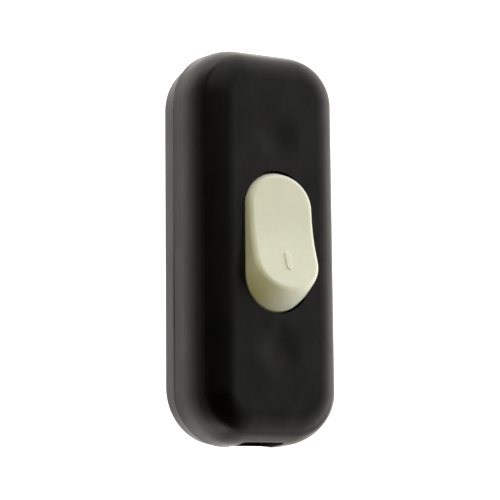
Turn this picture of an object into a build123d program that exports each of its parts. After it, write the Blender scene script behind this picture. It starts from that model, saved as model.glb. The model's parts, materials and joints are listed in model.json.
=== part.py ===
from build123d import *
import os
from math import sin, cos, tan, radians, sqrt

os.makedirs("parts", exist_ok=True)

# In-line (through-cord) rocker switch, lying on its back.
# X is across the body, Y along it, Z up out of the rocker's face. Millimetres.
# The stored rest position is OFF: the -Y end of the rocker stands up.

# ---------------------------------------------------------------- body
body_length = 66.4        # along Y, at the parting line
body_width = 27.5         # along X, at the parting line
face_z = 15.5             # flat front face of the cover
corner_r = 9.0            # plan corners of the cover
front_r = 4.6             # rounding of the front edge
slope_deg = 24.2          # the sides lean in by this below that rounding
slope_z = 10.25           # where they start to lean in
slope_r = 12.0            # soft change from side to slope
draft_deg = 3.5           # draft of the cover's sides
inner_r = 5.3             # rounding inside the cover
parting_z = 5.0           # where the two shells meet
wall = 1.8
base_inset = 0.15         # the base is this much smaller at its sides
base_inset_end = 0.10     # and at its ends
base_corner_r = 9.8       # plan corners of the base
base_draft_deg = 5.0      # the base narrows towards the back
base_edge_r = 1.5         # rounding of the back edge
floor_t = 1.8
tongue_h = 1.4            # lip of the base inside the cover
tongue_gap = 0.20
tongue_t = 0.8
seam_chamfer = 0.22
seam_gap, seam_depth = 0.20, 0.45   # shadow gap round the lower edge of the cover

# ---------------------------------------------------------------- rocker
tilt = 11.3               # half of the rocker's travel, degrees
dish = 6.5                # slope of each half of its dished top, degrees
pivot_depth = 3.7         # pivot axis below the front face
pivot_z = face_z - pivot_depth
rk_half = 6.00            # half width
rk_sweep = 11.95          # radius of the end walls about the pivot axis
hole_half = 6.22          # opening in the face, half width and half length
hole_len = 11.83
hole_flare = 0.25         # the opening widens inwards
rk_h0 = 5.68              # valley vertex above the pivot
valley_r = 24.0
rk_edge_r = 0.85
rk_wall = 1.3
rk_roof = 1.5
rk_skirt = -1.3           # lower edge, relative to the pivot
trunnion_r = 1.2
trunnion_x = 7.9
trunnion_gap = 0.05
stem_r = 2.2
stem_end = -3.0
bore_r = 1.3
bore_top = 3.6
mark_x, mark_y = 0.0, -4.8
mark_len, mark_w, mark_h = 3.2, 1.05, 0.18
mark_r = 0.15             # rounding of its top

# ---------------------------------------------------------------- plunger and spring
plunger_r = 1.25
plunger_top = -0.5
plunger_tip = -4.05       # centre of the round tip
pip_r, pip_h = 0.65, 0.5
wire_d = 0.3
spring_r = 1.0            # mean radius
spring_turns = 7

# ---------------------------------------------------------------- contacts and terminals
fulcrum_z = 6.1
blade_t = 0.5
blade_half = 2.0
blade_arm = 6.6
lug_r, lug_x0, lug_x = 0.5, 1.6, 3.4
notch_r = 0.55
contact_y = 5.5
contact_r = 1.1
plate_z0, plate_z1 = 4.0, 4.8
ear_x0, ear_x1 = 2.5, 3.3
live_x, live_y = -7.4, 10.0
link_x, link_y = 7.6, 9.6
washer_r, washer_t = 2.6, 0.5
term_head_r, term_head_h = 2.3, 1.6
term_shank_r, term_end_z = 1.2, 2.4

# ---------------------------------------------------------------- cord entry, clamps, cover screws
slot_half = 4.0
slot_z0, slot_z1 = 2.4, 10.6
clamp_y, clamp_screw_x = 26.0, 6.9
post_r, post_top = 2.4, 7.8
bar_half, bar_w, bar_t = 9.2, 5.0, 2.4
tooth_h = 0.5
clamp_head_r, clamp_head_h = 2.4, 1.5
clamp_shank_r, clamp_end_z = 1.2, 3.4
boss_y, boss_r, boss_z = 17.4, 3.0, 5.1
base_boss_r, base_boss_z = 3.5, 5.0
cb_r, cb_depth = 2.9, 2.2
cs_head_r, cs_head_h = 2.65, 1.8
cs_shank_r, cs_end_z = 1.2, 11.6
sink_r, sink_depth = 4.8, 0.24


def rounded_block(width, length, radius, z0, height, taper=0.0):
    return extrude(Pos(0, 0, z0) * RectangleRounded(width, length, radius), amount=height, taper=taper)


def block(x0, x1, y0, y1, z0, z1):
    return Pos((x0 + x1) / 2, (y0 + y1) / 2, (z0 + z1) / 2) * Box(x1 - x0, y1 - y0, z1 - z0)


def post(x, y, r, z0, z1):
    return Pos(x, y, (z0 + z1) / 2) * Cylinder(r, z1 - z0)


def rocker_block(inset):
    # stadium in plan; its end walls follow an arc about the pivot axis, its sides are flat
    half, sweep_r = rk_half - inset, rk_sweep - inset
    rings = []
    for h in (-4.5, -1.5, 1.0, 3.0, 5.0, 6.6, 8.2):
        rings.append(Pos(0, 0, h) * SlotOverall(2 * sqrt(sweep_r ** 2 - h ** 2), 2 * half, rotation=90))
    return loft(rings)


def at_rest(shape):
    # from the rocker's own middle position, pivot at the origin, to its place when OFF
    return Pos(0, 0, pivot_z) * (Rot(-tilt, 0, 0) * shape)


def pan_screw(x, y, seat, end, head_r, head_h, shank_r, slot_w, turn, up=True):
    head = post(0, 0, head_r, 0, head_h)
    head = fillet(head.edges().group_by(Axis.Z)[-1], head_h * 0.45)
    head -= Rot(0, 0, turn) * block(-head_r, head_r, -slot_w / 2, slot_w / 2, head_h * 0.5, head_h + 1)
    length = abs(seat - end)
    shank = post(0, 0, shank_r, -length, 0)
    shank = chamfer(shank.edges().group_by(Axis.Z)[0], shank_r * 0.45)
    whole = head + shank
    if not up:
        whole = Rot(180, 0, 0) * whole
    return Pos(x, y, seat) * whole


# ================================================================ top cover
cover_h = face_z - parting_z
outer = rounded_block(body_width, body_length, corner_r, parting_z, slope_z - parting_z, draft_deg)
lean = (slope_z - parting_z) * tan(radians(draft_deg))
outer += rounded_block(body_width - 2 * lean, body_length - 2 * lean, corner_r - lean,
                       slope_z, face_z - slope_z, slope_deg)
outer = fillet([e for e in outer.edges() if abs(e.center().Z - slope_z) < 0.01], slope_r)
outer = fillet(outer.edges().group_by(Axis.Z)[-1], front_r)
outer -= (rounded_block(body_width + 2, body_length + 2, corner_r + 1, parting_z - 0.5, 0.5 + seam_gap)
          - rounded_block(body_width - 2 * seam_depth, body_length - 2 * seam_depth, corner_r - seam_depth,
                          parting_z - 1, 2))
inner = rounded_block(body_width - 2 * wall, body_length - 2 * wall, corner_r - wall,
                      parting_z, cover_h - wall, draft_deg)
inner = fillet(inner.edges().group_by(Axis.Z)[-1], inner_r)
inner += rounded_block(body_width - 2 * wall, body_length - 2 * wall, corner_r - wall, parting_z - 1, 1.0)
cover = outer - inner

opening = loft([Pos(0, 0, z) * SlotOverall(2 * (hole_len + f * hole_flare), 2 * (hole_half + f * 0.12), rotation=90)
                for z, f in ((face_z - wall - 0.5, (wall + 0.5) / wall), (face_z + 0.5, -0.5 / wall))])
cover -= opening

# bearing brackets: the trunnions enter their slots from below
for s in (-1, 1):
    x0, x1 = sorted((s * 6.5, s * 8.1))
    bracket = block(x0, x1, -2.9, 2.9, pivot_z - trunnion_r + 0.05, face_z - wall + 0.4)
    slot = Pos((x0 + x1) / 2, 0, pivot_z) * (Rot(0, 90, 0) * Cylinder(trunnion_r + trunnion_gap, 4))
    slot += block(x0 - 1, x1 + 1, -trunnion_r - trunnion_gap, trunnion_r + trunnion_gap, pivot_z - 5, pivot_z)
    cover += bracket - slot

# screw bosses with their pilot holes, and the sink mark that each leaves in the face
with BuildPart() as sink_cut:
    with BuildSketch(Plane.XZ):
        with BuildLine():
            dip = Spline((0, -sink_depth), (sink_r * 0.25, -0.854 * sink_depth), (sink_r * 0.5, -0.5 * sink_depth),
                         (sink_r * 0.75, -0.146 * sink_depth), (sink_r, 0), tangents=((1, 0), (1, 0)))
            Polyline((sink_r, 0), (sink_r, 1), (0, 1), (0, -sink_depth))
        make_face()
    revolve(axis=Axis.Z)
for s in (-1, 1):
    cover += post(0, s * boss_y, boss_r, boss_z, face_z - wall + 0.4)
    for rib in (-1, 1):
        x0, x1 = sorted((rib * 2.6, rib * 11.6))
        cover += block(x0, x1, s * boss_y - 0.5, s * boss_y + 0.5, 10.6, face_z - wall + 0.4) & inner
    cover -= post(0, s * boss_y, cs_shank_r + 0.03, boss_z - 1, cs_end_z + 0.5)
    cover -= Pos(0, s * boss_y, face_z) * sink_cut.part

# cord slots in the end walls
for s in (-1, 1):
    y0, y1 = sorted((s * (body_length / 2 - wall - 1.2), s * (body_length / 2 + 1)))
    notch = block(-slot_half, slot_half, y0, y1, parting_z - 1, slot_z1)
    notch = fillet(notch.edges().filter_by(Axis.Y).group_by(Axis.Z)[-1], 0.8)
    cover -= notch

# ================================================================ base plate
base = extrude(RectangleRounded(body_width - 2 * base_inset, body_length - 2 * base_inset_end, base_corner_r),
               amount=parting_z, taper=base_draft_deg)
base = Pos(0, 0, parting_z) * (Rot(180, 0, 0) * base)
base = fillet(base.edges().group_by(Axis.Z)[0], base_edge_r)
base = chamfer(base.edges().group_by(Axis.Z)[-1], seam_chamfer)
lip_off = wall + tongue_gap
base += rounded_block(body_width - 2 * lip_off, body_length - 2 * lip_off, corner_r - lip_off,
                      parting_z - 0.5, tongue_h + 0.5)
tray_off = lip_off + tongue_t
base -= rounded_block(body_width - 2 * tray_off, body_length - 2 * tray_off, corner_r - tray_off, floor_t, 10)

for s in (-1, 1):
    # cord slot, and the ribs that the cord lies on
    y0, y1 = sorted((s * 29.0, s * 34.0))
    notch = block(-slot_half, slot_half, y0, y1, slot_z0, 11)
    notch = fillet(notch.edges().filter_by(Axis.Y).group_by(Axis.Z)[0], 0.8)
    base -= notch
    for y in (24.4, 26.0, 27.6):
        base += block(-4.4, 4.4, s * y - 0.35, s * y + 0.35, floor_t - 0.3, 2.45)
    # clamp posts
    for x in (-clamp_screw_x, clamp_screw_x):
        base += post(x, s * clamp_y, post_r, floor_t - 0.3, post_top)
        base -= post(x, s * clamp_y, clamp_shank_r + 0.03, clamp_end_z - 0.6, post_top + 1)
    # cover screw boss and counterbore
    base += post(0, s * boss_y, base_boss_r, floor_t - 0.3, base_boss_z)
    base -= post(0, s * boss_y, cs_shank_r + 0.25, -1, base_boss_z + 1)
    base -= post(0, s * boss_y, cb_r, -1, cb_depth)
    # terminal pillars
    base += block(live_x - 3.0, live_x + 2.9, s * live_y - 3.1, s * live_y + 3.1, floor_t - 0.3, plate_z0)
    base -= post(live_x, s * live_y, term_shank_r + 0.05, term_end_z - 0.2, plate_z0 + 1)
    base += block(link_x - 2.9, link_x + 3.0, s * link_y - 2.9, s * link_y + 2.9, floor_t - 0.3, plate_z0)
    base -= post(link_x, s * link_y, term_shank_r + 0.05, term_end_z - 0.2, plate_z0 + 1)
    # posts that close the rocker's bearings from below
    x0, x1 = sorted((s * 6.5, s * 8.1))
    base += block(x0, x1, -1.15, 1.15, floor_t - 0.3, pivot_z - trunnion_r - trunnion_gap)
# supports under the two contact strips
base += block(-1.7, 1.7, -8.6, -1.0, floor_t - 0.3, plate_z0)
base += block(-1.7, 1.7, 7.2, 9.0, floor_t - 0.3, plate_z0)
base += block(link_x + 1.0, link_x + 2.6, -1.0, 1.0, floor_t - 0.3, plate_z0)

# ================================================================ rocker
rise = tan(radians(dish))
reach = 16.0


def under_dish(drop, low):
    # everything below the dished top, lowered by drop, and above low
    h0 = rk_h0 - drop / cos(radians(dish))
    shape = Polygon((-reach, h0 + reach * rise), (0, h0), (reach, h0 + reach * rise), (reach, low), (-reach, low),
                   align=None)
    valley = shape.vertices().sort_by_distance((0, h0, 0))[0]
    shape = fillet(valley, valley_r)
    return extrude(Plane.YZ * shape, amount=12, both=True)


rocker = rocker_block(0) & under_dish(0, rk_skirt)
rim = []
for f in rocker.faces():
    if f.center().Z > 3.5 and f.normal_at().Z > 0.9:
        for e in f.edges():
            straight_across = e.geom_type == GeomType.LINE and abs((e % 0.5).X) > 0.99
            if not straight_across:
                rim.append(e)
rocker = fillet(rim, rk_edge_r)
rocker -= rocker_block(rk_wall) & under_dish(rk_roof, rk_skirt - 2)
stem = post(0, 0, stem_r, stem_end, bore_top + 1.2)
for s in (-1, 1):
    # webs that tie the stem to the side walls
    x0, x1 = sorted((s * 1.6, s * (rk_half - 0.6)))
    stem += block(x0, x1, -0.6, 0.6, -1.2, bore_top + 1.2)
stem &= rocker_block(0.3) & under_dish(0.6, stem_end)
rocker += stem
rocker -= post(0, 0, bore_r, stem_end - 1, bore_top)
for s in (-1, 1):
    x0, x1 = sorted((s * (rk_half - 0.5), s * trunnion_x))
    pin = Pos((x0 + x1) / 2, 0, 0) * (Rot(0, 90, 0) * Cylinder(trunnion_r, x1 - x0))
    rocker += pin
mark_plane = Plane(origin=(mark_x, mark_y, rk_h0 - mark_y * rise),
                   x_dir=(0, -cos(radians(dish)), sin(radians(dish))),
                   z_dir=(0, sin(radians(dish)), cos(radians(dish))))
bar = extrude(mark_plane * SlotOverall(mark_len, mark_w), amount=mark_h)
bar += extrude(mark_plane * SlotOverall(mark_len, mark_w), amount=-0.3)
bar = fillet(bar.faces().sort_by(Axis((0, 0, 0), mark_plane.z_dir))[-1].edges(), mark_r)
rocker += bar
rocker = at_rest(rocker)

# ================================================================ plunger and its spring
plunger = post(0, 0, plunger_r, plunger_tip, plunger_top)
plunger += Pos(0, 0, plunger_tip) * Sphere(plunger_r)
plunger += post(0, 0, pip_r, plunger_top - 0.1, plunger_top + pip_h)
plunger = at_rest(plunger)

spring_z0 = plunger_top + 0.03 + wire_d / 2
spring_z1 = bore_top - 0.03 - wire_d / 2
coil = Pos(0, 0, spring_z0) * Helix((spring_z1 - spring_z0) / spring_turns, spring_z1 - spring_z0, spring_r)
section_plane = Plane(origin=coil @ 0, z_dir=coil % 0)
spring = sweep(section_plane * Circle(wire_d / 2), path=coil, is_frenet=True)
spring = at_rest(spring)

# ================================================================ contact blade
blade_rise = tan(radians(tilt))


def arm_points(offset):
    # the fold line of the blade, shifted by offset square to each arm
    c, s_ = cos(radians(tilt)), sin(radians(tilt))
    tip_y, tip_z = blade_arm * c, blade_arm * s_
    return [(-tip_y + offset * s_, tip_z + offset * c), (0, offset / c), (tip_y - offset * s_, tip_z + offset * c)]


upper, lower = arm_points(blade_t / 2), arm_points(-blade_t / 2)
blade = extrude(Plane.YZ * Polygon(*upper, *reversed(lower), align=None), amount=blade_half, both=True)
blade = fillet(blade.edges().filter_by(lambda e: e.length < 0.6).sort_by(Axis.Y), 0.9)
for s in (-1, 1):
    # lugs at its fold, clear of the plunger's path
    x0, x1 = sorted((s * lug_x0, s * lug_x))
    blade += Pos((x0 + x1) / 2, 0, 0) * (Rot(0, 90, 0) * Cylinder(lug_r, x1 - x0))


def on_arm(shape):
    # from an arm lying flat to the +Y arm's own slope
    return Rot(tilt, 0, 0) * shape


def blade_rest(shape):
    return Pos(0, 0, fulcrum_z) * (Rot(tilt, 0, 0) * shape)


blade -= on_arm(post(0, contact_y, 0.7, -1, 1))
blade = blade_rest(blade)

rivet = post(0, contact_y, contact_r, -blade_t / 2 - 0.5, -blade_t / 2)
rivet = fillet(rivet.edges().group_by(Axis.Z)[0], 0.3)
rivet += post(0, contact_y, 0.7, -blade_t / 2 - 0.1, blade_t / 2 + 0.1)
head = post(0, contact_y, 1.0, blade_t / 2, blade_t / 2 + 0.35)
rivet += fillet(head.edges().group_by(Axis.Z)[-1], 0.2)
moving_contact = blade_rest(on_arm(rivet))

# ================================================================ terminals
pivot_terminal = block(live_x - 3.0, live_x + 3.0, -live_y - 3.2, -live_y + 3.2, plate_z0, plate_z1)
pivot_terminal += block(live_x, blade_half, -9.4, -6.9, plate_z0, plate_z1)
pivot_terminal += block(-blade_half, blade_half, -9.4, 1.4, plate_z0, plate_z1)
pivot_terminal += block(-ear_x1, ear_x1, -1.3, 1.3, plate_z0, plate_z1)
for s in (-1, 1):
    x0, x1 = sorted((s * ear_x0, s * ear_x1))
    ear = block(x0, x1, -1.3, 1.3, plate_z0, fulcrum_z + 0.6)
    cut = Pos((x0 + x1) / 2, 0, fulcrum_z) * (Rot(0, 90, 0) * Cylinder(notch_r, 3))
    cut += block(x0 - 1, x1 + 1, -notch_r, notch_r, fulcrum_z, fulcrum_z + 3)
    pivot_terminal += ear - cut
# pressed-up pip that the blade's other arm comes down on
stop = post(0, -5.4, 0.8, plate_z1 - 0.1, fulcrum_z - blade_t / 2 - 0.06)
pivot_terminal += fillet(stop.edges().group_by(Axis.Z)[-1], 0.3)
pivot_terminal -= post(live_x, -live_y, term_shank_r + 0.03, 0, 10)

contact_terminal = block(live_x - 3.0, live_x + 3.0, live_y - 3.2, live_y + 3.2, plate_z0, plate_z1)
contact_terminal += block(live_x, blade_half, 6.9, 9.4, plate_z0, plate_z1)
contact_terminal += block(-blade_half, blade_half, 4.2, 9.4, plate_z0, plate_z1)
contact_terminal -= post(live_x, live_y, term_shank_r + 0.03, 0, 10)
contact_terminal -= post(0, contact_y, 0.7, 0, 10)

fixed_contact = post(0, contact_y, contact_r, plate_z1, fulcrum_z - blade_t / 2 - 0.5 - 0.05)
fixed_contact = fillet(fixed_contact.edges().group_by(Axis.Z)[-1], 0.2)
fixed_contact += post(0, contact_y, 0.7, plate_z0 - 0.1, plate_z1 + 0.1)
fixed_contact += post(0, contact_y, 1.0, plate_z0 - 0.4, plate_z0)

neutral_link = block(link_x - 3.0, link_x + 3.0, link_y - 3.0, link_y + 3.0, plate_z0, plate_z1)
neutral_link += block(link_x - 3.0, link_x + 3.0, -link_y - 3.0, -link_y + 3.0, plate_z0, plate_z1)
neutral_link += block(link_x + 0.9, link_x + 2.8, -link_y, link_y, plate_z0, plate_z1)
for s in (-1, 1):
    neutral_link -= post(link_x, s * link_y, term_shank_r + 0.03, 0, 10)

terminal_at = [(live_x, -live_y), (live_x, live_y), (link_x, -link_y), (link_x, link_y)]
turns = [20, -35, 65, 5]
terminal_washers = [post(x, y, washer_r, plate_z1, plate_z1 + washer_t)
                    - post(x, y, term_shank_r + 0.1, 0, 10) for x, y in terminal_at]
terminal_screws = [pan_screw(x, y, plate_z1 + washer_t, term_end_z, term_head_r, term_head_h,
                             term_shank_r, 0.7, a) for (x, y), a in zip(terminal_at, turns)]

# ================================================================ cord clamps and their screws
clamps = {}
for name, s in (("cord_clamp_upper", 1), ("cord_clamp_lower", -1)):
    clamp = Pos(0, s * clamp_y, post_top) * extrude(RectangleRounded(2 * bar_half, bar_w, 1.6), amount=bar_t)
    clamp = fillet(clamp.edges().group_by(Axis.Z)[-1], 0.5)
    for y in (-1.3, 1.3):
        tooth = Polygon((-0.6, 0.2), (0.6, 0.2), (0, -tooth_h), align=None)
        clamp += Pos(0, s * clamp_y + y, post_top) * extrude(Plane.YZ * tooth, amount=4.0, both=True)
    for x in (-clamp_screw_x, clamp_screw_x):
        clamp -= post(x, s * clamp_y, clamp_shank_r + 0.15, 0, 20)
    clamps[name] = clamp

clamp_turns = [10, 80, -25, 45]
clamp_at = [(x, s * clamp_y) for s in (-1, 1) for x in (-clamp_screw_x, clamp_screw_x)]
clamp_screws = [pan_screw(x, y, post_top + bar_t, clamp_end_z, clamp_head_r, clamp_head_h,
                          clamp_shank_r, 0.7, a) for (x, y), a in zip(clamp_at, clamp_turns)]

# ================================================================ cover screws, driven from the back
cover_screws = [pan_screw(0, s * boss_y, cb_depth, cs_end_z, cs_head_r, cs_head_h, cs_shank_r, 0.8, a, up=False)
                for s, a in ((-1, 30), (1, -50))]

nodes = {
    "top_cover": cover,
    "base_plate": base,
    "rocker": rocker,
    "plunger": plunger,
    "plunger_spring": spring,
    "contact_blade": blade,
    "moving_contact": moving_contact,
    "pivot_terminal": pivot_terminal,
    "contact_terminal": contact_terminal,
    "fixed_contact": fixed_contact,
    "neutral_link": neutral_link,
    "terminal_screws": Compound(terminal_screws),
    "terminal_washers": Compound(terminal_washers),
    "cord_clamp_upper": clamps["cord_clamp_upper"],
    "cord_clamp_lower": clamps["cord_clamp_lower"],
    "clamp_screws": Compound(clamp_screws),
    "cover_screws": Compound(cover_screws),
}
for name, shape in nodes.items():
    export_step(shape, f"parts/{name}.step")
    print(name, len(shape.solids()), round(shape.volume, 2))
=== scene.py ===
import json
import math

import bmesh
import bpy
import numpy as np
from mathutils import Matrix, Vector


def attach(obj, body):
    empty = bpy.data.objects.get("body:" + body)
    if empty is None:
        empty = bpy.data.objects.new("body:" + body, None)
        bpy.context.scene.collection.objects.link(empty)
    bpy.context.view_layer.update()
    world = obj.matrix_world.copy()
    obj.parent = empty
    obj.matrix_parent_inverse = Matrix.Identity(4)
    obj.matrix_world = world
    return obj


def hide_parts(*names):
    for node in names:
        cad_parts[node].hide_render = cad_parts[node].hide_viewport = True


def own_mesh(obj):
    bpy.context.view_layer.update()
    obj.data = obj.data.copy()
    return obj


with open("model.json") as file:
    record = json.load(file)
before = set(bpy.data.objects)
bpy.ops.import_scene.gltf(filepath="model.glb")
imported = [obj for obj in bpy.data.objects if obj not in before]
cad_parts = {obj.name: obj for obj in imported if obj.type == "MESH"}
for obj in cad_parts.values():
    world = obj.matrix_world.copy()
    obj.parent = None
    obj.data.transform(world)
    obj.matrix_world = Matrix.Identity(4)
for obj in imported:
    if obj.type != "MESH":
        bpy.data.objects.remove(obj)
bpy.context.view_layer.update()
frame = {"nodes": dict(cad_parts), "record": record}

scene = bpy.context.scene
MM = 0.001


# ------------------------------------------------------------------ camera
def make_camera():
    # pin-hole camera found from the outline of the body: turned to the left and a little below the middle
    turn, below, roll = math.radians(30.119), math.radians(8.129), math.radians(-0.584)
    focal_px, reach = 1896.76, 318.109 * MM
    u0, v0 = 253.993, 248.054
    back = Vector((-math.sin(turn) * math.cos(below), -math.sin(below), math.cos(turn) * math.cos(below)))
    fwd = -back
    right = fwd.cross(Vector((0, 1, 0))).normalized()
    up = right.cross(fwd)
    r2 = right * math.cos(roll) + up * math.sin(roll)
    u2 = up * math.cos(roll) - right * math.sin(roll)
    place = Vector((0, 0, 7.75 * MM)) + back * reach
    # the picture's middle, 250, 250, is the axis of the camera
    axis = (fwd * focal_px + r2 * (250 - u0) - u2 * (250 - v0)).normalized()
    side = (r2 - axis * r2.dot(axis)).normalized()
    top = side.cross(axis)
    cam = bpy.data.objects.new("camera", bpy.data.cameras.new("camera"))
    scene.collection.objects.link(cam)
    m = Matrix((side, top, -axis)).transposed().to_4x4()
    m.translation = place
    cam.matrix_world = m
    cam.data.sensor_width = 36.0
    cam.data.lens = focal_px * 36.0 / 500.0
    cam.data.clip_start, cam.data.clip_end = 0.01, 20.0
    cam.data.dof.use_dof = False
    scene.camera = cam
    return cam


make_camera()


# ------------------------------------------------------------------ node helpers
class Nodes:
    """A small builder for one material's nodes. Lengths in its textures are millimetres of the part."""

    def __init__(self, name):
        self.mat = bpy.data.materials.new(name)
        self.mat.use_nodes = True
        self.tree = self.mat.node_tree
        self.tree.nodes.clear()
        self.out = self.add("ShaderNodeOutputMaterial")
        self.bsdf = self.add("ShaderNodeBsdfPrincipled")
        self.link(self.bsdf.outputs[0], self.out.inputs[0])
        coord = self.add("ShaderNodeTexCoord")
        scale = self.add("ShaderNodeVectorMath")
        scale.operation = "SCALE"
        scale.inputs["Scale"].default_value = 1000.0
        self.link(coord.outputs["Object"], scale.inputs[0])
        self.mm = scale.outputs[0]

    def add(self, kind, **values):
        n = self.tree.nodes.new(kind)
        for k, v in values.items():
            setattr(n, k, v)
        return n

    def link(self, a, b):
        self.tree.links.new(a, b)

    def set(self, **values):
        for k, v in values.items():
            self.bsdf.inputs[k.replace("_", " ")].default_value = v

    def stretched(self, sx, sy, sz, turn=(0, 0, 0)):
        n = self.add("ShaderNodeMapping")
        n.inputs["Scale"].default_value = (sx, sy, sz)
        n.inputs["Rotation"].default_value = turn
        self.link(self.mm, n.inputs["Vector"])
        return n.outputs[0]

    def noise(self, scale, detail=2.0, rough=0.5, vector=None, distort=0.0):
        n = self.add("ShaderNodeTexNoise")
        n.inputs["Scale"].default_value = scale
        n.inputs["Detail"].default_value = detail
        n.inputs["Roughness"].default_value = rough
        n.inputs["Distortion"].default_value = distort
        self.link(vector or self.mm, n.inputs["Vector"])
        return n.outputs["Fac"]

    def ramp(self, fac, stops):
        n = self.add("ShaderNodeValToRGB")
        r = n.color_ramp
        while len(r.elements) < len(stops):
            r.elements.new(0.5)
        for e, (p, c) in zip(r.elements, stops):
            e.position = p
            e.color = (*c, 1.0) if len(c) == 3 else c
        self.link(fac, n.inputs[0])
        return n.outputs[0]

    def span(self, fac, lo, hi, f0=0.3, f1=0.7):
        n = self.add("ShaderNodeMapRange")
        n.inputs["From Min"].default_value = f0
        n.inputs["From Max"].default_value = f1
        n.inputs["To Min"].default_value = lo
        n.inputs["To Max"].default_value = hi
        self.link(fac, n.inputs["Value"])
        return n.outputs[0]

    def math(self, op, a, b):
        n = self.add("ShaderNodeMath", operation=op)
        for i, v in enumerate((a, b)):
            if isinstance(v, (int, float)):
                n.inputs[i].default_value = v
            else:
                self.link(v, n.inputs[i])
        return n.outputs[0]

    def mix(self, fac, a, b):
        n = self.add("ShaderNodeMix", data_type="RGBA")
        for s, v in ((n.inputs[0], fac), (n.inputs[6], a), (n.inputs[7], b)):
            if isinstance(v, (int, float)):
                s.default_value = v
            elif isinstance(v, tuple):
                s.default_value = (*v, 1.0)
            else:
                self.link(v, s)
        return n.outputs[2]

    def bump(self, layers):
        # layers: (height, depth in mm)
        last = None
        for height, depth in layers:
            n = self.add("ShaderNodeBump")
            n.inputs["Strength"].default_value = 1.0
            n.inputs["Distance"].default_value = depth * MM
            self.link(height, n.inputs["Height"])
            if last is not None:
                self.link(last, n.inputs["Normal"])
            last = n.outputs[0]
        self.link(last, self.bsdf.inputs["Normal"])

    def colour(self, socket):
        self.link(socket, self.bsdf.inputs["Base Color"])

    def roughness(self, socket):
        self.link(socket, self.bsdf.inputs["Roughness"])


# ------------------------------------------------------------------ materials
def black_plastic():
    n = Nodes("black_plastic")
    cloud = n.noise(0.16, 3.0, 0.55)
    streak = n.noise(1.0, 4.0, 0.6, n.stretched(0.9, 0.10, 0.9))
    grain = n.noise(5.5, 2.0, 0.6)
    split = n.add("ShaderNodeSeparateXYZ")
    n.link(n.mm, split.inputs[0])
    y, z = split.outputs["Y"], split.outputs["Z"]

    # handling marks: pale scuffs low on the sides and a dull blotchy bloom; painted shade along the seam of the shells,
    # where the gloss is taken out, and a painted gloss falloff on the base band below it, brighter low down and darker
    # up under the cover's edge
    scuff = n.math("MULTIPLY", n.span(n.noise(0.55, 3.0, 0.6, n.stretched(1.0, 0.7, 1.2)), 0.0, 1.0, 0.50, 0.78),
                   n.math("MULTIPLY", n.span(z, 0.0, 1.0, 0.3, 1.5), n.span(z, 1.0, 0.0, 5.2, 7.0)))
    bloom = n.noise(0.30, 3.0, 0.6, n.stretched(1.0, 0.45, 1.0))
    # painted shade: the seam's dark band reaches lower towards the ends, from |y| 23 to 30 mm
    low = n.math("ADD", z, n.span(n.math("ABSOLUTE", y, 0.0), 0.0, 0.7, 23.0, 30.0))
    # painted shade in the seam of the shells: a band just below the cover's edge loses its gloss, broken up by the
    # bloom and stronger towards -Y
    seam_painted_shade = n.math("MULTIPLY", n.span(low, 0.0, 1.0, 4.15, 4.40), n.span(z, 1.0, 0.0, 5.22, 5.34))
    seam_painted_shade = n.math("MULTIPLY", seam_painted_shade, n.math("MULTIPLY", n.span(bloom, 1.0, 0.5), n.span(y, 1.0, 0.15, -12.0, 16.0)))
    dull = n.mix(n.span(cloud, 0.0, 1.0), (0.0018, 0.0018, 0.0019), (0.0028, 0.0027, 0.0026))
    n.colour(n.mix(n.math("MULTIPLY", scuff, 0.8), dull, (0.016, 0.0152, 0.0138)))
    rough = n.math("ADD", n.span(cloud, 0.24, 0.28), n.span(streak, -0.015, 0.015))
    rough = n.math("ADD", rough, n.math("MULTIPLY", n.math("ADD", seam_painted_shade, scuff), 0.12))
    n.roughness(n.math("ADD", rough, n.span(grain, -0.01, 0.01)))
    # painted shade and reflection: the base band's gloss falls with height, from above the floor up to under the
    # cover's edge, and the seam's painted shade is added to it
    painted_shade_dulling = n.math("MULTIPLY", n.span(z, -0.16, 0.20, 1.0, 4.8), n.span(z, 1.0, 0.0, 5.0, 5.3))
    painted_shade_dulling = n.math("ADD", painted_shade_dulling, n.math("MULTIPLY", seam_painted_shade, 0.65))
    gloss = n.math("MULTIPLY", n.math("SUBTRACT", 1.0, painted_shade_dulling), n.span(bloom, 0.45, 0.60))
    n.link(gloss, n.bsdf.inputs["Specular IOR Level"])
    n.set(IOR=1.30)
    n.bump([(cloud, 0.006), (grain, 0.0008)])
    return n.mat


def ivory_plastic():
    n = Nodes("ivory_plastic")
    cloud = n.noise(0.22, 3.0, 0.5)
    grain = n.noise(7.0, 2.0, 0.6)
    n.colour(n.mix(n.span(cloud, 0.0, 1.0), (0.775, 0.800, 0.665), (0.800, 0.824, 0.695)))
    n.roughness(n.math("ADD", n.span(cloud, 0.33, 0.41), n.span(grain, -0.03, 0.03)))
    n.set(IOR=1.5, Subsurface_Weight=0.6, Subsurface_Radius=(1.0, 0.92, 0.70), Subsurface_Scale=0.8 * MM)
    n.bump([(cloud, 0.006), (grain, 0.0012)])
    return n.mat


def dark_moulding(name):
    n = Nodes(name)
    cloud = n.noise(0.5, 3.0, 0.55)
    grain = n.noise(6.0, 2.0, 0.6)
    n.colour(n.mix(n.span(cloud, 0.0, 1.0), (0.020, 0.020, 0.021), (0.034, 0.033, 0.032)))
    n.roughness(n.span(grain, 0.48, 0.62))
    n.bump([(grain, 0.004)])
    return n.mat


def nylon():
    n = Nodes("nylon")
    cloud = n.noise(0.8, 3.0, 0.5)
    grain = n.noise(9.0, 2.0, 0.6)
    n.colour(n.mix(n.span(cloud, 0.0, 1.0), (0.74, 0.72, 0.62), (0.82, 0.80, 0.71)))
    n.roughness(n.span(grain, 0.40, 0.52))
    n.set(Subsurface_Weight=0.4, Subsurface_Radius=(1.0, 0.8, 0.5), Subsurface_Scale=0.5 * MM)
    n.bump([(grain, 0.002)])
    return n.mat


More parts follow.
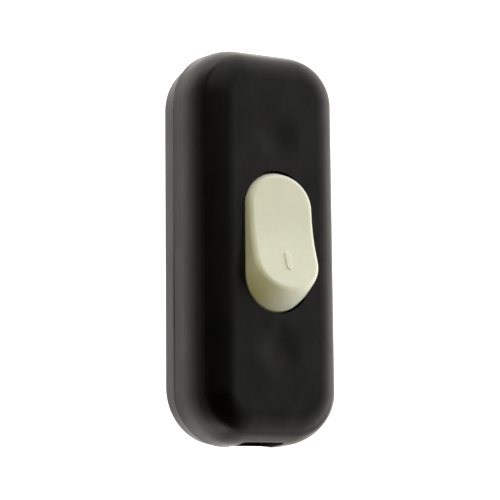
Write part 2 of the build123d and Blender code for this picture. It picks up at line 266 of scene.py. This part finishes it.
def metal(name, dark, light, r0, r1, grain_scale, grain=(1.0, 1.0, 1.0), depth=0.0015):
    n = Nodes(name)
    cloud = n.noise(0.6, 4.0, 0.6)
    lines = n.noise(grain_scale, 3.0, 0.6, n.stretched(*grain))
    n.colour(n.mix(n.span(cloud, 0.0, 1.0), dark, light))
    n.roughness(n.math("ADD", n.span(cloud, r0, r1), n.span(lines, -0.05, 0.05)))
    n.set(Metallic=1.0)
    n.bump([(lines, depth)])
    return n.mat


MATERIALS = {
    "black_plastic": black_plastic(),
    "ivory_plastic": ivory_plastic(),
    "clamp_plastic": dark_moulding("clamp_plastic"),
    "nylon": nylon(),
    "spring_steel": metal("spring_steel", (0.45, 0.45, 0.46), (0.60, 0.60, 0.61), 0.22, 0.34, 6.0),
    "copper_alloy": metal("copper_alloy", (0.70, 0.38, 0.22), (0.82, 0.50, 0.31), 0.24, 0.36, 4.0, (1.0, 0.06, 1.0)),
    "brass": metal("brass", (0.70, 0.51, 0.20), (0.83, 0.64, 0.30), 0.22, 0.36, 4.0, (1.0, 0.06, 1.0)),
    "silver": metal("silver", (0.78, 0.78, 0.76), (0.88, 0.88, 0.86), 0.16, 0.30, 6.0),
    "zinc_steel": metal("zinc_steel", (0.56, 0.57, 0.58), (0.72, 0.73, 0.74), 0.24, 0.38, 5.0),
}
for row in frame["record"]["subparts"]:
    mesh = frame["nodes"][row["node"]].data
    mesh.materials.clear()
    mesh.materials.append(MATERIALS[row["material_slot"]])


# ------------------------------------------------------------------ mesh pieces: threaded screws and the coil spring
ROUND = 48


def close_grid(rings, low, high):
    """A closed skin of rings of ROUND points each, with a centre point below the first ring and above the last."""
    verts = [p for ring in rings for p in ring] + [low, high]
    faces = []
    for i in range(len(rings) - 1):
        for k in range(ROUND):
            a, b = i * ROUND + k, i * ROUND + (k + 1) % ROUND
            faces.append((a, b, b + ROUND, a + ROUND))
    last = (len(rings) - 1) * ROUND
    lo, hi = len(verts) - 2, len(verts) - 1
    for k in range(ROUND):
        faces.append((lo, (k + 1) % ROUND, k))
        faces.append((hi, last + k, last + (k + 1) % ROUND))
    return verts, faces


def mesh_of(name, verts, faces):
    me = bpy.data.meshes.new(name)
    me.from_pydata([tuple(v) for v in verts], [], faces)
    me.update()
    return me


def screw_mesh(length, head_r, head_h, shank_r, slot_w, pitch):
    """Pan head above z 0 with a driver slot along X, threaded shank below, in millimetres."""
    angle = [2 * math.pi * k / ROUND for k in range(ROUND)]
    root = shank_r - 0.26
    rings = []

    def ring(z, r):
        rings.append([(r * math.cos(a), r * math.sin(a), z) for a in angle])

    ring(-length, root * 0.55)
    ring(-length + 0.28, root * 0.9)
    z0, z1, step = -length + 0.34, -0.30, pitch / 12
    count = int((z1 - z0) / step)
    for i in range(count + 1):
        z = z0 + (z1 - z0) * i / count
        fade = min(1.0, (z - z0) / 0.7, (z1 - z) / 0.45)
        row = []
        for a in angle:
            t = abs(2 * ((z / pitch - a / (2 * math.pi)) % 1.0) - 1)
            crest = min(1.0, max(0.0, 1.55 * (1 - t) - 0.28))
            crest = crest * crest * (3 - 2 * crest) * 0.35 + crest * 0.65
            r = root + (shank_r - root) * crest * max(0.0, fade)
            row.append((r * math.cos(a), r * math.sin(a), z))
        rings.append(row)
    ring(-0.22, root)
    ring(0.0, root + 0.06)
    ring(0.0, head_r - 0.12)
    ring(0.12, head_r)
    soft = head_h * 0.5
    ring(head_h - soft - 0.1, head_r)
    for i in range(1, 8):
        a = math.pi / 2 * i / 8
        ring(head_h - soft - 0.1 + soft * math.sin(a), head_r - soft * (1 - math.cos(a)))
    for f in (0.62, 0.42, 0.22, 0.08):
        ring(head_h - 0.1 + 0.1 * (1 - (f / 0.72) ** 2) * 0.98, head_r * f)
    verts, faces = close_grid(rings, (0, 0, -length), (0, 0, head_h))
    body = bpy.data.objects.new("screw_blank", mesh_of("screw_blank", verts, faces))
    x, y, lo, hi = head_r + 1, slot_w / 2, head_h * 0.5, head_h + 1
    box = [(sx * x, sy * y, z) for z in (lo, hi) for sx, sy in ((-1, -1), (1, -1), (1, 1), (-1, 1))]
    quads = [(0, 3, 2, 1), (4, 5, 6, 7), (0, 1, 5, 4), (1, 2, 6, 5), (2, 3, 7, 6), (3, 0, 4, 7)]
    cutter = bpy.data.objects.new("screw_slot", mesh_of("screw_slot", box, quads))
    for o in (body, cutter):
        scene.collection.objects.link(o)
    cut = body.modifiers.new("slot", "BOOLEAN")
    cut.operation, cut.solver, cut.object = "DIFFERENCE", "EXACT", cutter
    done = bpy.data.meshes.new_from_object(body.evaluated_get(bpy.context.evaluated_depsgraph_get()))
    for o in (body, cutter):
        old = o.data
        bpy.data.objects.remove(o)
        bpy.data.meshes.remove(old)
    return done


def place_screws(name, node, places, sizes, up=True):
    """One piece of several screws. places: (x, y, seat z, turn in degrees)."""
    blank = screw_mesh(*sizes)
    joined = bmesh.new()
    for x, y, seat, turn in places:
        part = bmesh.new()
        part.from_mesh(blank)
        m = Matrix.Rotation(math.radians(turn), 4, "Z")
        if not up:
            m = Matrix.Rotation(math.pi, 4, "X") @ m
        part.transform(Matrix.Diagonal((MM, MM, MM, 1)) @ Matrix.Translation((x, y, seat)) @ m)
        copy = bpy.data.meshes.new("screw_copy")
        part.to_mesh(copy)
        part.free()
        joined.from_mesh(copy)
        bpy.data.meshes.remove(copy)
    me = bpy.data.meshes.new(name)
    joined.to_mesh(me)
    joined.free()
    bpy.data.meshes.remove(blank)
    me.shade_smooth()
    me.set_sharp_from_angle(angle=math.radians(38))
    me.materials.clear()
    me.materials.append(MATERIALS["zinc_steel"])
    ob = bpy.data.objects.new(name, me)
    scene.collection.objects.link(ob)
    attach(ob, "housing")
    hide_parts(node)


place_screws("terminal_screws_threaded", "terminal_screws",
             [(-7.4, -10.0, 5.3, 20), (-7.4, 10.0, 5.3, -35), (7.6, -9.6, 5.3, 65), (7.6, 9.6, 5.3, 5)],
             (2.9, 2.3, 1.6, 1.2, 0.7, 0.7))
place_screws("clamp_screws_threaded", "clamp_screws",
             [(-6.9, -26.0, 10.2, 10), (6.9, -26.0, 10.2, 80), (-6.9, 26.0, 10.2, -25), (6.9, 26.0, 10.2, 45)],
             (6.8, 2.4, 1.5, 1.2, 0.7, 0.9))
place_screws("cover_screws_threaded", "cover_screws",
             [(0.0, -17.4, 2.2, 30), (0.0, 17.4, 2.2, -50)],
             (9.4, 2.65, 1.8, 1.2, 0.8, 0.95), up=False)


def coil_spring():
    """Compression spring with closed end turns, in the rocker's bore."""
    turns, radius, wire = 7, 1.0, 0.15
    z0, z1, tilt, pivot = -0.32, 3.42, math.radians(-11.3), 11.8
    closed = 0.33
    n = turns * 44
    sides = 14
    path = []
    for i in range(n + 1):
        t = turns * i / n
        open_pitch = (z1 - z0 - 2 * closed) / (turns - 2)
        if t < 1:
            z = z0 + closed * t
        elif t > turns - 1:
            z = z1 - closed * (turns - t)
        else:
            z = z0 + closed + open_pitch * (t - 1)
        path.append((t, z))
    # soften the change of pitch
    zs = np.array([p[1] for p in path])
    soft = zs.copy()
    for i in range(len(zs)):
        k = min(12, i, len(zs) - 1 - i)
        soft[i] = zs[i - k:i + k + 1].mean()
    pts = np.array([(radius * math.cos(2 * math.pi * t), radius * math.sin(2 * math.pi * t), z)
                    for (t, _), z in zip(path, soft)])
    tang = np.gradient(pts, axis=0)
    tang /= np.linalg.norm(tang, axis=1)[:, None]
    verts = []
    for p, d, (t, _) in zip(pts, tang, path):
        out = np.array((math.cos(2 * math.pi * t), math.sin(2 * math.pi * t), 0.0))
        out -= d * out.dot(d)
        out /= np.linalg.norm(out)
        side = np.cross(d, out)
        for k in range(sides):
            a = 2 * math.pi * k / sides
            verts.append(p + wire * (math.cos(a) * out + math.sin(a) * side))
    verts = np.array(verts)
    c, s = math.cos(tilt), math.sin(tilt)
    turned = np.stack([verts[:, 0], c * verts[:, 1] - s * verts[:, 2], s * verts[:, 1] + c * verts[:, 2] + pivot], 1)
    faces = []
    for i in range(n):
        for k in range(sides):
            a, b = i * sides + k, i * sides + (k + 1) % sides
            faces.append((a, b, b + sides, a + sides))
    faces.append(tuple(reversed(range(sides))))
    faces.append(tuple(n * sides + k for k in range(sides)))
    me = mesh_of("plunger_spring_coil", turned * MM, faces)
    me.shade_smooth()
    me.set_sharp_from_angle(angle=math.radians(50))
    me.materials.append(MATERIALS["spring_steel"])
    ob = bpy.data.objects.new("plunger_spring_coil", me)
    scene.collection.objects.link(ob)
    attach(ob, "rocker")
    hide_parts("plunger_spring")
    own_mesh(ob)


coil_spring()


# ------------------------------------------------------------------ floor, world and lights
def make_floor():
    """A pale sheet under the part that runs out softly into the white backdrop."""
    half = 1.5
    me = bpy.data.meshes.new("floor")
    me.from_pydata([(-half, -half, 0), (half, -half, 0), (half, half, 0), (-half, half, 0)], [], [(0, 1, 2, 3)])
    floor = bpy.data.objects.new("floor", me)
    floor.location = (0, 0, -0.15 * MM)
    scene.collection.objects.link(floor)
    n = Nodes("pale_floor")
    cloud = n.noise(0.004, 2.0, 0.5)
    n.colour(n.mix(n.span(cloud, 0.0, 1.0), (0.50, 0.50, 0.50), (0.53, 0.53, 0.53)))
    n.set(Roughness=0.9, Specular_IOR_Level=0.0, Emission_Color=(1.0, 0.96, 0.915, 1), Emission_Strength=1.95)

    # painted shadow: its glow is dimmed close to the part, and it runs out on the left and at the -Y end with the
    # distance from it
    split = n.add("ShaderNodeSeparateXYZ")
    n.link(n.mm, split.inputs[0])

    def near(edge, value, reach, power):
        away = n.math("MAXIMUM", n.math("SUBTRACT", edge, value), 0.0)
        return n.math("DIVIDE", 1.0, n.math("ADD", n.math("POWER", n.math("DIVIDE", away, reach), power), 1.0))

    x, y = split.outputs["X"], split.outputs["Y"]
    # painted contact shadow: up to 40 % of the glow is cut beside the part's left side, fading within a few mm to the
    # left
    touch = n.math("MULTIPLY", n.span(x, 0.4, 0.0, -16.0, -6.0), n.span(y, 0.0, 1.0, -37.0, -29.0))
    shade = n.math("SUBTRACT", 1.0, n.math("MULTIPLY", near(-13.75, x, 4.0, 2.0), touch))
    # painted shade: the glow is dimmed towards the right of x -16 mm, under and beside the part, and runs out further
    # with the distance beyond the -Y end
    end = n.math("SUBTRACT", 0.64, n.math("MULTIPLY", near(-33.2, y, 3.0, 1.5), 0.32))
    end = n.math("SUBTRACT", 1.0, n.math("MULTIPLY", end, n.span(x, 0.0, 1.0, -16.0, -6.0)))
    kept = n.math("MULTIPLY", n.math("MULTIPLY", near(-13.75, x, 17.0, 2.4), shade), end)
    fade = n.math("SUBTRACT", 1.0, kept)
    clear = n.add("ShaderNodeBsdfTransparent")
    side = n.add("ShaderNodeNewGeometry")
    pick = n.add("ShaderNodeMixShader")
    n.link(n.math("MAXIMUM", fade, side.outputs["Backfacing"]), pick.inputs[0])
    n.link(n.bsdf.outputs[0], pick.inputs[1])
    n.link(clear.outputs[0], pick.inputs[2])
    n.link(pick.outputs[0], n.out.inputs[0])
    me.materials.append(n.mat)


def toward(azimuth, height):
    a, h = math.radians(azimuth), math.radians(height)
    return (math.cos(h) * math.cos(a), math.cos(h) * math.sin(a), math.sin(h))


def make_world():
    """A soft studio dome: bright over the right half, two broad lamps low on the right and behind, dark on the left."""
    w = bpy.data.worlds.new("studio")
    scene.world = w
    w.use_nodes = True
    t = w.node_tree
    t.nodes.clear()

    def math_node(op, a, b):
        n = t.nodes.new("ShaderNodeMath")
        n.operation = op
        for i, v in enumerate((a, b)):
            if isinstance(v, (int, float)):
                n.inputs[i].default_value = v
            else:
                t.links.new(v, n.inputs[i])
        return n.outputs[0]

    coord = t.nodes.new("ShaderNodeTexCoord")

    def facing(azimuth, height):
        n = t.nodes.new("ShaderNodeVectorMath")
        n.operation = "DOT_PRODUCT"
        t.links.new(coord.outputs["Generated"], n.inputs[0])
        n.inputs[1].default_value = toward(azimuth, height)
        return n.outputs["Value"]

    def lamp(azimuth, height, power, level):
        f = math_node("MAXIMUM", facing(azimuth, height), 0.0)
        return math_node("MULTIPLY", math_node("POWER", f, power), level)

    half = t.nodes.new("ShaderNodeMapRange")
    half.interpolation_type = "SMOOTHSTEP"
    half.inputs["From Min"].default_value = 0.34
    half.inputs["From Max"].default_value = 0.46
    half.inputs["To Min"].default_value = 0.0
    half.inputs["To Max"].default_value = 0.18
    t.links.new(facing(-8.8, 15.7), half.inputs["Value"])
    level = math_node("ADD", half.outputs[0], lamp(-14.5, -5.0, 1.92, 2.56))
    level = math_node("ADD", level, lamp(85.4, 0.0, 1.0, 1.53))

    # nothing comes from under the floor
    above = t.nodes.new("ShaderNodeMapRange")
    above.interpolation_type = "SMOOTHSTEP"
    above.inputs["From Min"].default_value = -0.10
    above.inputs["From Max"].default_value = 0.0
    t.links.new(facing(0.0, 90.0), above.inputs["Value"])
    level = math_node("MULTIPLY", level, above.outputs[0])

    out = t.nodes.new("ShaderNodeOutputWorld")
    seen = t.nodes.new("ShaderNodeBackground")
    seen.inputs[0].default_value = (1, 1, 1, 1)
    seen.inputs[1].default_value = 1.0
    felt = t.nodes.new("ShaderNodeBackground")
    felt.inputs[0].default_value = (1.0, 0.975, 0.95, 1)
    t.links.new(level, felt.inputs[1])
    path = t.nodes.new("ShaderNodeLightPath")
    mix = t.nodes.new("ShaderNodeMixShader")
    t.links.new(path.outputs["Is Camera Ray"], mix.inputs[0])
    t.links.new(felt.outputs[0], mix.inputs[1])
    t.links.new(seen.outputs[0], mix.inputs[2])
    t.links.new(mix.outputs[0], out.inputs[0])


def make_fill():
    """A broad warm fill lamp, high on the left, that makes no glare: it lifts the shade side of the rocker."""
    lamp = bpy.data.lights.new("fill", "AREA")
    lamp.shape, lamp.size, lamp.energy = "DISK", 0.4, 0.62
    lamp.color = (1.0, 0.81, 0.10)
    ob = bpy.data.objects.new("fill", lamp)
    d = Vector(toward(195.0, 35.0))
    ob.location = d * 0.6
    ob.rotation_euler = (-d).to_track_quat("-Z", "Y").to_euler()
    ob.visible_camera = ob.visible_glossy = False
    scene.collection.objects.link(ob)


make_floor()
make_world()
make_fill()

scene.view_settings.view_transform = "Standard"
scene.view_settings.look = "None"
scene.view_settings.exposure = 0.0
scene.view_settings.gamma = 1.0
